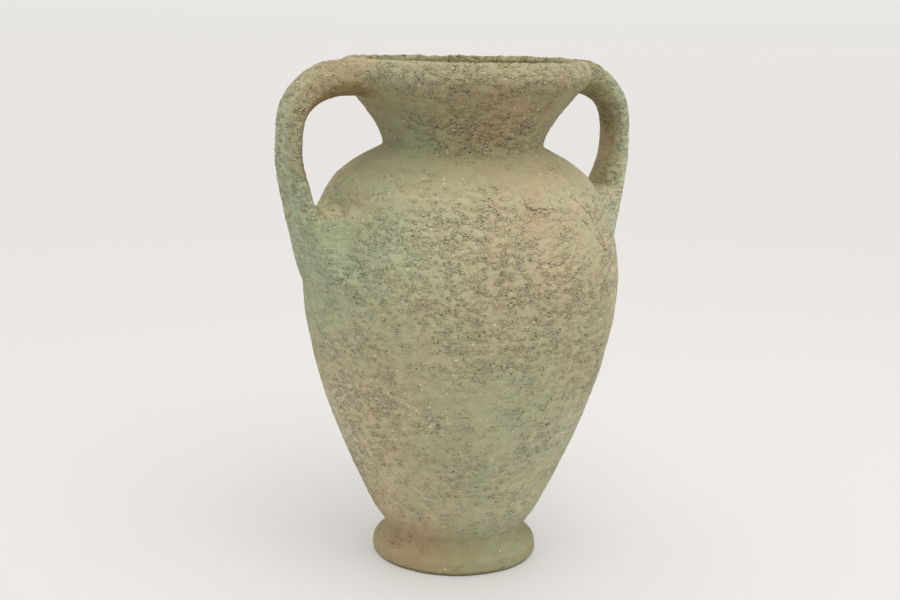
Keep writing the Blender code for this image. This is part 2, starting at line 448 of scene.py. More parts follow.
# Airbrushed spots: angle in degrees from the photographed side, height, width and height of the
# spot, and how much sage (positive) or tan (negative) it adds. The side that the photograph doesn't
# show gets spots of the same kind.
PLAIN = 0.38  # the amount of sage between the spots
COLOUR_SPOTS = [
    (-50, 0.315, 0.085, 0.060, 0.85),
    (30, 0.330, 0.075, 0.075, -0.30),
    (18, 0.185, 0.060, 0.050, 0.38),
    (35, 0.115, 0.070, 0.055, 0.28),
    (-42, 0.140, 0.060, 0.075, -0.28),
    (-62, 0.250, 0.030, 0.050, 0.25),
    (72, 0.320, 0.035, 0.060, 0.08),
    (-45, 0.035, 0.045, 0.030, -0.62),
    (-35, 0.012, 0.055, 0.020, -0.42),
    (-82, 0.372, 0.030, 0.016, -0.50),
    (-14, 0.312, 0.025, 0.015, 0.25),
    (72, 0.285, 0.025, 0.040, -0.25),
    (60, 0.148, 0.025, 0.025, 0.18),
    (-60, 0.346, 0.014, 0.012, -0.55),
    (-53, 0.334, 0.013, 0.009, -0.70),
    (-56, 0.279, 0.022, 0.008, -0.45),
    (-32, 0.410, 0.040, 0.022, 0.38),
    (28, 0.430, 0.055, 0.030, -0.45),
    (-12, 0.445, 0.020, 0.012, -0.20),
    (66, 0.420, 0.020, 0.030, 0.20),
    (84, 0.462, 0.014, 0.020, 0.35),
    (116, 0.458, 0.040, 0.030, 0.45),
    (-46, 0.349, 0.016, 0.012, -0.75),
    (38, 0.014, 0.050, 0.020, 0.30),
    (42, 0.040, 0.045, 0.020, 0.22),
    (30, 0.400, 0.050, 0.010, 0.15),
    (-28, 0.464, 0.035, 0.012, 0.25),
    (38, 0.464, 0.050, 0.012, -0.18),
    (-66, 0.470, 0.030, 0.015, -0.35),
    (118, 0.310, 0.050, 0.060, 0.40),
    (160, 0.300, 0.080, 0.060, 0.60),
    (110, 0.200, 0.050, 0.060, -0.25),
    (-150, 0.250, 0.070, 0.060, -0.35),
    (-105, 0.310, 0.050, 0.060, 0.35),
    (-178, 0.150, 0.060, 0.050, 0.35),
    (-130, 0.110, 0.050, 0.060, 0.25),
    (130, 0.080, 0.050, 0.040, -0.30),
    (-170, 0.420, 0.050, 0.030, 0.35),
    (150, 0.430, 0.040, 0.030, -0.35),
    (-130, 0.464, 0.050, 0.015, 0.30),
]
SAGE_LEAST, SAGE_MOST = -0.3, 1.1  # the amounts at which the coat is all tan and all sage

# How rough the coat is at heights on the vessel, and in spots.
ROUGH_HEIGHTS = [
    0.0, 0.020, 0.032, 0.060, 0.110, 0.200, 0.280, 0.340, 0.368, 0.386,
    0.396, 0.402, 0.420, 0.436, 0.449, 0.456, 0.468, 0.475, 0.480,
]
ROUGH_THERE = [
    0.20, 0.22, 0.40, 0.48, 0.56, 0.60, 0.80, 0.76, 0.50, 0.28,
    0.40, 1.00, 1.00, 0.60, 0.50, 1.00, 1.15, 0.90, 0.75,
]
ROUGH_SPOTS = [
    (5, 0.300, 0.070, 0.050, 0.30),
    (38, 0.275, 0.060, 0.050, 0.25),
    (-48, 0.165, 0.050, 0.060, 0.40),
    (-62, 0.100, 0.040, 0.040, 0.30),
    (32, 0.345, 0.045, 0.025, -0.40),
    (55, 0.330, 0.022, 0.025, -0.35),
    (-62, 0.345, 0.010, 0.010, 0.60),
    (-56, 0.278, 0.025, 0.010, 0.50),
    (10, 0.185, 0.040, 0.022, -0.30),
    (-15, 0.225, 0.040, 0.025, -0.25),
    (10, 0.425, 0.060, 0.030, 0.30),
    (-45, 0.418, 0.032, 0.028, -0.65),
    (60, 0.430, 0.030, 0.030, -0.30),
]

# What the colours are multiplied by at heights on the vessel, and how much more or less in spots,
# mostly painted light and shade: the heights paint a contact shadow along the foot's bottom edge,
# shade on the foot and its waist, and shade on the neck under the lip and down to the shoulder; the
# spots paint light on the lower flanks and at the belly's sides, and a few darker patches.
TONE_HEIGHTS = [
    0.0, 0.0015, 0.004, 0.026, 0.034, 0.060, 0.200, 0.340, 0.365,
    0.385, 0.398, 0.412, 0.442, 0.450, 0.458, 0.472, 0.480,
]
TONE_THERE = [
    0.34, 0.42, 0.75, 0.72, 0.89, 1.04, 1.01, 0.99, 0.95,
    0.77, 0.81, 0.83, 0.79, 0.81, 0.89, 0.91, 0.83,
]
TONE_SPOTS = [
    (-49, 0.326, 0.024, 0.022, -0.17),
    (-40, 0.408, 0.030, 0.016, 0.15),
    (-46, 0.333, 0.018, 0.018, -0.08),
    (-35, 0.474, 0.035, 0.012, 0.04),
    (-50, 0.150, 0.045, 0.075, 0.17),
    (48, 0.330, 0.040, 0.050, 0.05),
    (-38, 0.090, 0.040, 0.040, 0.08),
    (52, 0.130, 0.040, 0.060, 0.14),
    (40, 0.075, 0.040, 0.030, 0.08),
    (-50, 0.012, 0.030, 0.020, 0.06),
    (45, 0.018, 0.040, 0.030, 0.12),
    (80, 0.255, 0.035, 0.075, 0.12),
    (-68, 0.165, 0.032, 0.055, 0.13),
    (-40, 0.290, 0.016, 0.012, 0.11),
    (-14, 0.312, 0.022, 0.012, 0.09),
    (40, 0.333, 0.020, 0.012, -0.08),
    (73, 0.285, 0.022, 0.040, 0.11),
    (60, 0.148, 0.025, 0.025, 0.10),
    (-42, 0.190, 0.030, 0.015, 0.09),
    (35, 0.035, 0.030, 0.010, 0.12),
    (-47, 0.398, 0.022, 0.012, 0.10),
    (118, 0.385, 0.050, 0.045, 0.09),
    (82, 0.477, 0.026, 0.014, 0.16),
]
MOUTH_PAINTED_SHADE = 0.68  # what the colours are multiplied by inside the mouth, and in part on the rim's far side: painted shade

# Where pale specks gather, and how many there are elsewhere.
SPECK_SPOTS = [
    (-16, 0.170, 0.042, 0.020, 1.00),
    (-28, 0.190, 0.030, 0.020, 0.60),
    (5, 0.240, 0.080, 0.070, 0.12),
]
SPECKS_ELSEWHERE = 0.06

# Cracks in the coat, as (angle, height) points: beside the right handle's root, down from the left
# one, and short ones on the shoulder.
CRACKS = [
    [(51, 0.364), (56, 0.354), (60, 0.345), (62, 0.330), (64, 0.317)],
    [(51, 0.349), (59, 0.326), (65, 0.311)],
    [(24, 0.359), (29, 0.3555), (35, 0.355)],
    [(-33, 0.310), (-36, 0.302), (-38, 0.295)],
    [(96, 0.350), (89, 0.335), (86, 0.318)],
    [(-84, 0.345), (-88, 0.330), (-87, 0.312)],
    [(150, 0.352), (158, 0.348), (165, 0.351)],
]
CRACK_WIDTH = 0.0010
CRACK_DEPTH = 0.00055

# One round grain on the rim, and how far it stands out.
NODULE_ANGLE, NODULE_HEIGHT, NODULE_SIZE = 183.0, 0.4795, 0.0021
NODULE_RISE = 0.0016

# Sizes of the coat's features, and how high or deep they stand, in metres.
WIDE_WRINKLE = 0.0095
THIN_WRINKLE = 0.0056
WRINKLE_SQUEEZE = 1.6  # how much longer than tall the wrinkles are
FOLD_HEIGHT = 0.00065
CREASE_DEPTH = 0.00045
SAND_GRAIN = 0.0032
GRAIN_HEIGHT = 0.00075
HOLE_SIZE = 0.0040
HOLE_DEPTH = 0.00050
RIM_LUMPS = 0.00110
FAR_RIM_RISE = 0.00130


def handle_terms(points):
    """For points: how much they are on a handle, the same with a broad edge, how near they are to
    where a handle meets the vessel, and their fraction and offset out on the handle."""
    share, broad, joint, fraction, out = np.zeros((5, len(points)))
    index = np.flatnonzero(near_handles(points))
    if len(index):
        place = strap_place(points[index])
        gap = vessel_distance(points[index]) - handle_distance(points[index], place)
        share[index] = ramp(gap, -0.006, 0.008)
        broad[index] = ramp(gap, -0.022, 0.022)
        joint[index] = np.exp(-((gap / 0.011) ** 2))
        fraction[index], out[index] = place[0], place[1]
    return share, broad, joint, fraction, out


def crack_share(points):
    """1 along the cracks and 0 away from them."""
    angle = np.degrees(facing(points))
    radius = np.hypot(points[:, 0], points[:, 1])
    waver = 0.0016 * np.stack([noise(points, 0.006, 71), noise(points, 0.006, 72)], axis=1)
    total = np.zeros(len(points))
    for crack in CRACKS:
        for a, b in zip(crack, crack[1:]):
            scale = np.radians(1) * radius
            place = np.stack([(angle - a[0]) * scale, points[:, 2] - a[1]], axis=1) + waver
            way = np.stack([(b[0] - a[0]) * scale, np.full(len(points), b[1] - a[1])], axis=1)
            along = np.clip((place * way).sum(axis=1) / (way**2).sum(axis=1), 0, 1)
            away = np.linalg.norm(place - way * along[:, None], axis=1)
            total = np.maximum(total, np.exp(-((away / CRACK_WIDTH) ** 2)))
    return total * ramp(noise(points, 0.008, 73), -0.35, 0.05)


def roughness_of(points, inside, share, joint, fraction, inner):
    """How rough the coat is: rougher on the straps, and smoother where it is smeared."""
    rough = np.interp(points[:, 2], ROUGH_HEIGHTS, ROUGH_THERE) + spots_of(points, ROUGH_SPOTS)
    strap_rough = 0.92 - 0.35 * inner - 0.25 * ramp(fraction, 0.60, 0.75)
    rough = rough * (1 - share) + strap_rough * share - 0.22 * joint
    rough += 0.45 * noise(points, 0.034, 5) + 0.40 * noise(points, 0.015, 6)
    return np.clip(rough, 0.06, 1.2) * (1 - 0.55 * np.minimum(inside, 1))


def sage_of(points, share, fraction, inner):
    """The amount of sage, from 0 where the coat is all tan to 1 where it is all sage."""
    strap = 0.14 + 0.60 * ramp(fraction, 0.08, 0.45) - 0.14 * ramp(fraction, 0.58, 0.75)
    sage = PLAIN * (1 - share) + strap * share - (0.35 + 0.60 * ramp(fraction, 0.1, 0.4)) * inner
    sage += spots_of(points, COLOUR_SPOTS)
    sage += 0.14 * noise(points, 0.045, 61) + 0.22 * layered(points, 0.022, 2, 62)
    return np.clip((sage - SAGE_LEAST) / (SAGE_MOST - SAGE_LEAST), 0, 1)


def strap_faces(points, share, fraction, out):
    """How much points are on these parts of the straps: the inner face, the outer face, the edge
    towards the camera, that edge of the left strap, and the half of the right strap towards the
    camera, first all of it and then its lower part."""
    left = points[:, 0] < 0
    edge = share * ramp(-points[:, 1], 0.010, 0.017)
    edge *= ramp(fraction, 0.12, 0.24) * (1 - ramp(fraction, 0.47, 0.58))
    right_front = share * ramp(-points[:, 1], 0.006, 0.014) * (1 - left)
    right_front *= ramp(fraction, 0.14, 0.26) * (1 - ramp(fraction, 0.62, 0.72))
    low_front = right_front * ramp(fraction, 0.46, 0.56)
    inner = share * ramp(-out, 0.000, 0.006) * (1 - ramp(fraction, 0.60, 0.68))
    inner *= 1 - 0.75 * right_front
    outer = share * ramp(out, 0.001, 0.006) * (1 - edge) * (0.3 + 0.7 * left)
    outer *= ramp(fraction, 0.10, 0.22) * (1 - ramp(fraction, 0.34, 0.50))
    return inner, outer, edge, edge * left, right_front, low_front


def coat(points, inside):
    """The coat at points: its relief in metres, and as shades of 0 to 1 the sage, the dirt and
    painted shade in pits, creases and cracks, the roughness and the specks, and the factor that the
    colours are multiplied by, which holds painted light and shade and some wear. Inside is the kind
    of wall: OUTER,
    INNER where the coat is thinner, or HIDDEN."""
    share, broad, joint, fraction, out = handle_terms(points)
    faces = strap_faces(points, share, fraction, out)
    inner, outer, edge, left_edge, right_front, low_front = faces
    own = share + (broad - share) * ramp(fraction, 0.58, 0.68)  # broad around the strap's foot
    rough = roughness_of(points, inside, own, joint, fraction, inner)

    # Dragged stucco: short wrinkles that lie mostly level, in patches.
    bend = np.stack([noise(points, 0.014, s) for s in (11, 12, 13)], axis=1)
    level = (points + 0.0045 * bend) * np.array([1.0, 1.0, WRINKLE_SQUEEZE])
    wide_wrinkle = noise(level, WIDE_WRINKLE, 21)
    thin_wrinkle = noise(level, THIN_WRINKLE, 22)
    patch = ramp(noise(points, 0.026, 31) + 0.4 * noise(points, 0.011, 32), -0.22, 0.22)
    cluster = ramp(noise(level, 0.012, 37) + 0.5 * noise(level, 0.006, 38), -0.12, 0.25)
    wrinkled = patch * ramp(rough, 0.30, 0.80)
    crease = 1 - ramp(np.abs(wide_wrinkle), 0.0, 0.12)
    fine_crease = 1 - ramp(np.abs(thin_wrinkle), 0.0, 0.15)
    folds = FOLD_HEIGHT * (np.abs(wide_wrinkle) - 0.2) + CREASE_DEPTH * np.abs(thin_wrinkle)
    folds -= CREASE_DEPTH * cluster * (crease + fine_crease)
    calm = 1 - 0.45 * np.maximum(share, ramp(points[:, 2], THROAT_Z, LIP_Z))

    # Sand: rounded grains, and small holes.
    dome, gap = grains(points, SAND_GRAIN, 41)
    sandy = (1 - 0.5 * patch) * ramp(rough, 0.25, 0.75)
    holes = ramp(-noise(points, HOLE_SIZE, 54), 0.50, 0.68) * ramp(rough, 0.2, 0.6) * cluster

    relief = 0.00045 * noise(points, 0.045, 51) + 0.00035 * noise(points, 0.019, 52)
    relief += rough * (0.00025 * noise(level, 0.010, 56) + 0.00045 * noise(points, 0.0046, 53))
    relief += wrinkled * calm * folds
    relief += GRAIN_HEIGHT * sandy * dome * (0.35 + 0.65 * cluster) - HOLE_DEPTH * holes

    # The factor that the colours are multiplied by, mostly painted light and shade: lighter on what
    # stands proud, partly as a painted highlight and partly as wear, and painted shade and light by
    # place.
    far = ramp(points @ np.array(BEHIND), -0.03, 0.06)
    crest = ramp(points[:, 2], HEIGHT - 0.010, HEIGHT - 0.003)
    tone_and_painted_light = ramp(relief, -0.0009, 0.0012) * 0.12 + 0.93
    tone_and_painted_light *= np.interp(points[:, 2], TONE_HEIGHTS, TONE_THERE) * (1 - own) + own
    # Painted shade on the straps: darker towards their tops and their feet, on their inner faces
    # and on the left strap's edge towards the camera; painted light on their outer faces, at the
    # web, and on the right strap's half towards the camera.
    strap_shade = 0.29 * (1 - ramp(fraction, 0.12, 0.50)) - 0.14 * ramp(fraction, 0.55, 0.68)
    strap_shade += 0.12 * ramp(fraction, 0.72, 0.88)
    tone_and_painted_light *= 1 - own * (strap_shade + 0.22 * inner - 0.04) + 0.11 * outer
    tone_and_painted_light -= left_edge * (0.10 + 0.16 * ramp(fraction, 0.34, 0.48))
    tone_and_painted_light -= 0.16 * left_edge * ramp(-out, -0.004, 0.001) * ramp(fraction, 0.34, 0.44)
    tone_and_painted_light += 0.15 * right_front * (1 - ramp(fraction, 0.36, 0.46)) + 0.08 * low_front
    # Spots of painted light, and a few darker patches.
    for *place, strength in TONE_SPOTS:
        tone_and_painted_light *= 1 + strength * spot(points, *place)
    # Painted shade inside the mouth and on the rim's far crest.
    radius = np.hypot(points[:, 0], points[:, 1])
    mouth = ramp(RIM_RADIUS - radius, 0.0, 0.004) * ramp(points[:, 2], LIP_Z, LIP_Z + 0.005)
    tone_and_painted_light *= 1 - (1 - MOUTH_PAINTED_SHADE) * np.maximum(mouth, 0.62 * crest * far)

    # Cracks, and the lumpy crest of the rim.
    cracked = crack_share(points) * (1 - np.minimum(inside, 1))
    relief -= CRACK_DEPTH * cracked
    relief += RIM_LUMPS * crest * (0.25 + 0.75 * far) * layered(points, 0.010, 2, 55)
    relief += FAR_RIM_RISE * crest * spot(points, 140, HEIGHT, 0.065, 0.012)

    # Dark in creases, between grains, in holes and cracks, and on the far rim: dirt, with painted
    # shade in these hollows.
    pit_dirt_and_shade = 0.22 * (crease + fine_crease) * wrinkled * cluster
    pit_dirt_and_shade += 0.15 * (1 - ramp(gap, 0.0, 0.16)) * sandy * cluster + 0.35 * holes + 0.90 * cracked
    pit_dirt_and_shade += 0.60 * crest * far * ramp(-layered(points, 0.009, 2, 57), 0.05, 0.30)

    # The round grain on the rim, in a dark ring.
    turn = math.radians(NODULE_ANGLE) - VIEW_TURN
    middle = np.array([RIM_RADIUS * math.sin(turn), -RIM_RADIUS * math.cos(turn), NODULE_HEIGHT])
    off = np.linalg.norm(points - middle, axis=1)
    nodule = np.exp(-((off / NODULE_SIZE) ** 4))
    relief += NODULE_RISE * nodule
    pit_dirt_and_shade += np.exp(-(((off - 1.5 * NODULE_SIZE) / (0.4 * NODULE_SIZE)) ** 2))

    speck = SPECKS_ELSEWHERE + spots_of(points, SPECK_SPOTS) + nodule
    sage = sage_of(points, broad, fraction, inner)
    sage += 0.16 * outer + 0.10 * edge - 0.28 * left_edge - 0.25 * low_front
    return relief, np.clip(np.stack([sage, pit_dirt_and_shade, rough, speck], axis=1), 0, 1), tone_and_painted_light


# ------------ meshes

class Rings:
    """A closed mesh made ring by ring. A ring is its points in order, anticlockwise from above on
    the way up an outer wall, or one point where the mesh closes on itself."""

    def __init__(self):
        self.points, self.ways, self.inside, self.rings, self.size = [], [], [], [], 0

    def add(self, points, ways, inside, shift, edge=False):
        self.rings.append((self.size, len(points), shift, edge))
        self.points.append(points)
        self.ways.append(ways)
        self.inside.append(np.full(len(points), float(inside)))
        self.size += len(points)

    def circle(self, radius, height, way, spacing, inside=OUTER, shift=0.0, edge=False):
        if radius < 1e-6:
            self.add(np.array([[0, 0, height]]), np.array([[0, 0, way[1]]]), inside, 0, edge)
            return
        count = max(12, round(math.tau * radius / spacing))
        angle = math.tau * (np.arange(count) + shift) / count
        c, s = np.cos(angle), np.sin(angle)
        ring = np.stack([radius * c, radius * s, np.full(count, height)], axis=1)
        ways = np.stack([way[0] * c, way[0] * s, np.full(count, way[1])], axis=1)
        self.add(ring, ways, inside, shift, edge)

    def between(self, a, b):
        """The triangles between two rings of any sizes."""
        (start_a, count_a, shift_a, _), (start_b, count_b, shift_b, _) = a, b
        if count_a == 1 or count_b == 1:
            from_tip = count_a == 1
            tip, start, count = start_b, start_a, count_a
            if from_tip:
                tip, start, count = start_a, start_b, count_b
            k = np.arange(count)
            here, following = start + k, start + (k + 1) % count
            pair = (following, here) if from_tip else (here, following)
            return np.stack([*pair, np.full(count, tip)], axis=1)
        k, j = np.arange(count_a), np.arange(count_b)
        at_a, at_b = (k + 0.5 + shift_a) / count_a, (j + 0.5 + shift_b) / count_b
        met_b = np.searchsorted(at_b, at_a, side="left") % count_b
        met_a = np.searchsorted(at_a, at_b, side="right") % count_a
        up = np.stack([start_a + k, start_a + (k + 1) % count_a, start_b + met_b], axis=1)
        down = np.stack([start_a + met_a, start_b + (j + 1) % count_b, start_b + j], axis=1)
        return np.concatenate([up, down])

    def triangles(self, closed):
        pairs = list(zip(self.rings, self.rings[1:]))
        if closed:
            pairs.append((self.rings[-1], self.rings[0]))
        return np.concatenate([self.between(a, b) for a, b in pairs])

    def edges(self):
        """True for each point of a ring that is a sharp edge."""
        flags = np.zeros(self.size, bool)
        for start, count, _, edge in self.rings:
            flags[start : start + count] = edge
        return flags


def new_object(name, data):
    obj = bpy.data.objects.new(name, data)
    bpy.context.scene.collection.objects.link(obj)
    return obj


def mesh_object(name, points, triangles, sharp, shades, tone_and_painted_light):
    mesh = bpy.data.meshes.new(name)
    mesh.vertices.add(len(points))
    mesh.vertices.foreach_set("co", points.astype(np.float32).ravel())
    mesh.loops.add(3 * len(triangles))
    mesh.loops.foreach_set("vertex_index", triangles.astype(np.int32).ravel())
    mesh.polygons.add(len(triangles))
    mesh.polygons.foreach_set("loop_start", np.arange(0, 3 * len(triangles), 3, dtype=np.int32))
    mesh.update(calc_edges=True)
    mesh.validate()
    mesh.shade_smooth()

    ends = np.empty(2 * len(mesh.edges), np.int32)
    mesh.edges.foreach_get("vertices", ends)
    is_sharp = sharp[ends.reshape(-1, 2)].all(axis=1)
    sharp_edge = mesh.attributes.new("sharp_edge", "BOOLEAN", "EDGE")
    sharp_edge.data.foreach_set("value", is_sharp)
    layer = mesh.attributes.new("coat", "FLOAT_COLOR", "POINT")
    layer.data.foreach_set("color", shades.astype(np.float32).ravel())
    layer = mesh.attributes.new("tone_and_painted_light", "FLOAT", "POINT")
    layer.data.foreach_set("value", tone_and_painted_light.astype(np.float32))

    return new_object(name, mesh)


def line_ways(line):
    """The outward direction at each point of a (radius, height) line that runs up an outer wall."""
    along = np.gradient(line, axis=0)
    ways = np.stack([along[:, 1], -along[:, 0]], axis=1)
    return ways / np.linalg.norm(ways, axis=1)[:, None]


def add_wall(rings, line, spacing, inside, ends=None):
    """A line of circles. An inside line is given from the top down, so that its ways look inwards.
    The first and last circles are sharp edges, spaced as the neighbour's are so that they meet."""
    line = respaced(line, spacing * ROW)
    ways = line_ways(line)
    last = len(line) - 1
    for i, ((radius, height), way) in enumerate(zip(line, ways)):
        if i in (0, last):
            rings.circle(radius, height, way, ends or spacing, inside, 0.0, True)
        else:
            rings.circle(radius, height, way, spacing, inside, 0.5 * (i % 2))


def finished(name, rings, closed, flat_below=False):
    """The object of a set of rings, with the blends, the coat's relief and its shades."""
    points = np.concatenate(rings.points)
    ways = np.concatenate(rings.ways)
    inside = np.concatenate(rings.inside)
    outer = inside == OUTER
    shaped, turned = points.copy(), ways.copy()
    shaped[outer], turned[outer] = settle(points[outer], ways[outer])
    relief, shades, tone_and_painted_light = coat(shaped, inside)
    shaped += turned * (relief * (inside < HIDDEN))[:, None]
    if flat_below:
        shaped[:, 2] = np.maximum(shaped[:, 2], 0.0)
    return mesh_object(name, shaped, rings.triangles(closed), rings.edges(), shades, tone_and_painted_light)


def make_turned(node):
    """A section of the wall: its outer line up, its inner line down, and the joints between."""
    low, high = SPANS[node]
    rings = Rings()
    add_wall(rings, OUTSIDE[node], FINE if node == "shoulder" else FINER, OUTER, FINE)
    inner = wall_line(node, -1, low, high)
    add_wall(rings, inner[::-1], COARSE, HIDDEN if node == "foot" else INNER)
    return finished(node + "_coated", rings, True, flat_below=node == "foot")


def make_lower_body():
    """The lower half of the belly, with the floor inside and below."""
    low, high = SPANS["lower_body"]
    rings = Rings()
    rings.circle(0, low, (0, -1), COARSE, HIDDEN)
    rings.circle(OUTSIDE["lower_body"][0, 0] * 0.6, low, (0, -1), COARSE, HIDDEN)
    add_wall(rings, OUTSIDE["lower_body"], FINE, OUTER)
    corner = cad_line("lower_body", -1)[0]
    inner = wall_line("lower_body", -1, corner[1], high)
    add_wall(rings, inner[::-1], COARSE, INNER)
    floor = np.array([corner, (corner[0] * 0.5, corner[1])])
    for radius, height in respaced(floor, COARSE)[1:]:
        rings.circle(radius, height, (0, 1), COARSE, INNER)
    rings.circle(0, corner[1], (0, 1), COARSE, INNER)
    return finished("lower_body_coated", rings, False)


def make_lip():
    """The lip: its outer line up to the crest, then over and down the mouth to the neck."""
    rings = Rings()
    inner = wall_line("lip", -1, LIP_Z, HEIGHT)[::-1]
    over = np.concatenate([OUTSIDE["lip"], inner[1:]])
    add_wall(rings, over, FINER, OUTER, FINE)
    return finished("lip_coated", rings, True)


def strap_rings(side):
    """The rings of one handle, from the lip to the shoulder, on the right (side 1) or left (-1)."""
    rings = Rings()
    line = respaced(smooth_line(HANDLE_LINE, SAMPLE), FINER * ROW)
    way = np.gradient(line, axis=0)
    way /= np.linalg.norm(way, axis=1)[:, None]
    fractions = np.linspace(0, 1, len(line))
    tilts = ROOT_TILT * (1 - ramp(fractions, 0, ROOT_TILT_END))
    thick = along_handle(HANDLE_THICKNESS, fractions)
    wide = along_handle(HANDLE_WIDTH, fractions)
    web = web_depth(fractions)
    n = STRAP_SQUARENESS
    around = np.linspace(0, math.tau, 721)
    c, s = np.cos(around), np.sin(around)
    unit_out, unit_side = np.sign(c) * np.abs(c) ** (2 / n), np.sign(s) * np.abs(s) ** (2 / n)

    def close_end(i, sign):
        """The lone point at an end of the strap."""
        point = np.array([[line[i, 0], 0, line[i, 1]]])
        rings.add(point, sign * np.array([[way[i, 0], 0, way[i, 1]]]), OUTER, 0)

    close_end(0, -1)
    for i, centre in enumerate(line):
        out = unit_out * (thick[i] / 2 + web[i] * (c < 0))
        sideways = unit_side * wide[i] / 2
        reach = np.concatenate([[0], np.cumsum(np.hypot(np.diff(out), np.diff(sideways)))])
        count = round(reach[-1] / FINER)
        shift = 0.5 * (i % 2)
        at = reach[-1] * (np.arange(count) + shift) / count
        out, sideways = np.interp(at, reach, out), np.interp(at, reach, sideways)
        lean_c, lean_s = math.cos(tilts[i]), math.sin(tilts[i])
        across = np.array([[lean_c, lean_s], [-lean_s, lean_c]]) @ np.array([-way[i, 1], way[i, 0]])
        flat = centre + out[:, None] * across
        ring = np.stack([flat[:, 0], sideways, flat[:, 1]], axis=1)
        depth = thick[i] / 2 + web[i] * (out < 0)
        lean_out = np.sign(out) * np.abs(out / depth) ** (n - 1) / depth
        lean_side = np.sign(sideways) * np.abs(sideways / wide[i] * 2) ** (n - 1) / wide[i] * 2
        ways = np.stack([lean_out * across[0], lean_side, lean_out * across[1]], axis=1)
        ways /= np.linalg.norm(ways, axis=1)[:, None]
        rings.add(ring, ways, OUTER, shift)
    close_end(-1, 1)
    if side < 0:
        for points, ways in zip(rings.points, rings.ways):
            points[:, :2] *= -1
            ways[:, :2] *= -1
    return rings


def make_handle(name, side):
    """A handle, with its hidden ends tucked just under the vessel's skin."""
    rings = strap_rings(side)
    for points in rings.points:
        for _ in range(3):
            deep = np.minimum(vessel_distance(points) + TUCK, 0)
            radius = np.hypot(points[:, 0], points[:, 1])
            points[:, :2] *= (1 - deep / radius)[:, None]
    return finished(name + "_coated", rings, False)


# ------------ materials

